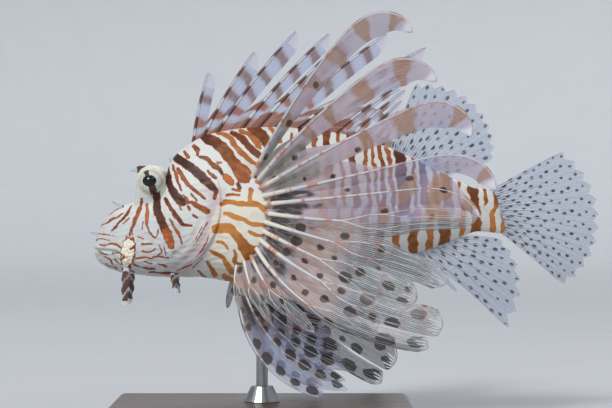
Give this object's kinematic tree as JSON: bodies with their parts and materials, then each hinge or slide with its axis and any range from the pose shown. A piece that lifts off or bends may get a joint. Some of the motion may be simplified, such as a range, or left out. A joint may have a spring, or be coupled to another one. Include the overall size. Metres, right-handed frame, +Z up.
{
  "type": "red lionfish model",
  "caption": "Life-size still model of a striped red lionfish swimming with its fans spread, on a flat base with a single rod.",
  "frame": {"origin": "centre of the underside of the stand's base, under the fish's belly", "axes": "+Z up; the fish faces -X and its left side faces -Y; its tail swings towards +Y"},
  "size_m": [0.3123, 0.2639, 0.2359],
  "materials": {
    "striped_skin": "satin, cream white with red-brown bands",
    "fin_membrane": "thin translucent membrane, pale rays, dark spots",
    "spine_membrane": "satin, brown and clear bands with pale tips",
    "eye": "glossy, silver white with a black pupil",
    "stand_wood": "dark stained, satin",
    "stand_steel": "brushed"
  },
  "bodies": {
    "root": {"head": "striped_skin", "lower_jaw": "striped_skin", "trunk": "striped_skin", "tail": "striped_skin", "brow_flap_left": "striped_skin", "brow_flap_right": "striped_skin", "nose_flap_left": "striped_skin", "nose_flap_right": "striped_skin", "snout_flap_left": "striped_skin", "snout_flap_right": "striped_skin", "mouth_flap_left": "striped_skin", "mouth_flap_right": "striped_skin", "cheek_flap_left": "striped_skin", "cheek_flap_right": "striped_skin", "pectoral_fin_left": "fin_membrane", "pectoral_fin_right": "fin_membrane", "pelvic_fin_left": "fin_membrane", "pelvic_fin_right": "fin_membrane", "soft_dorsal_fin": "fin_membrane", "anal_fin": "fin_membrane", "tail_fin": "fin_membrane", "spiny_dorsal_fin": "spine_membrane", "eye_left": "eye", "eye_right": "eye", "stand_base": "stand_wood", "stand_collar": "stand_steel", "stand_rod": "stand_steel"}
  },
  "joints": []
}
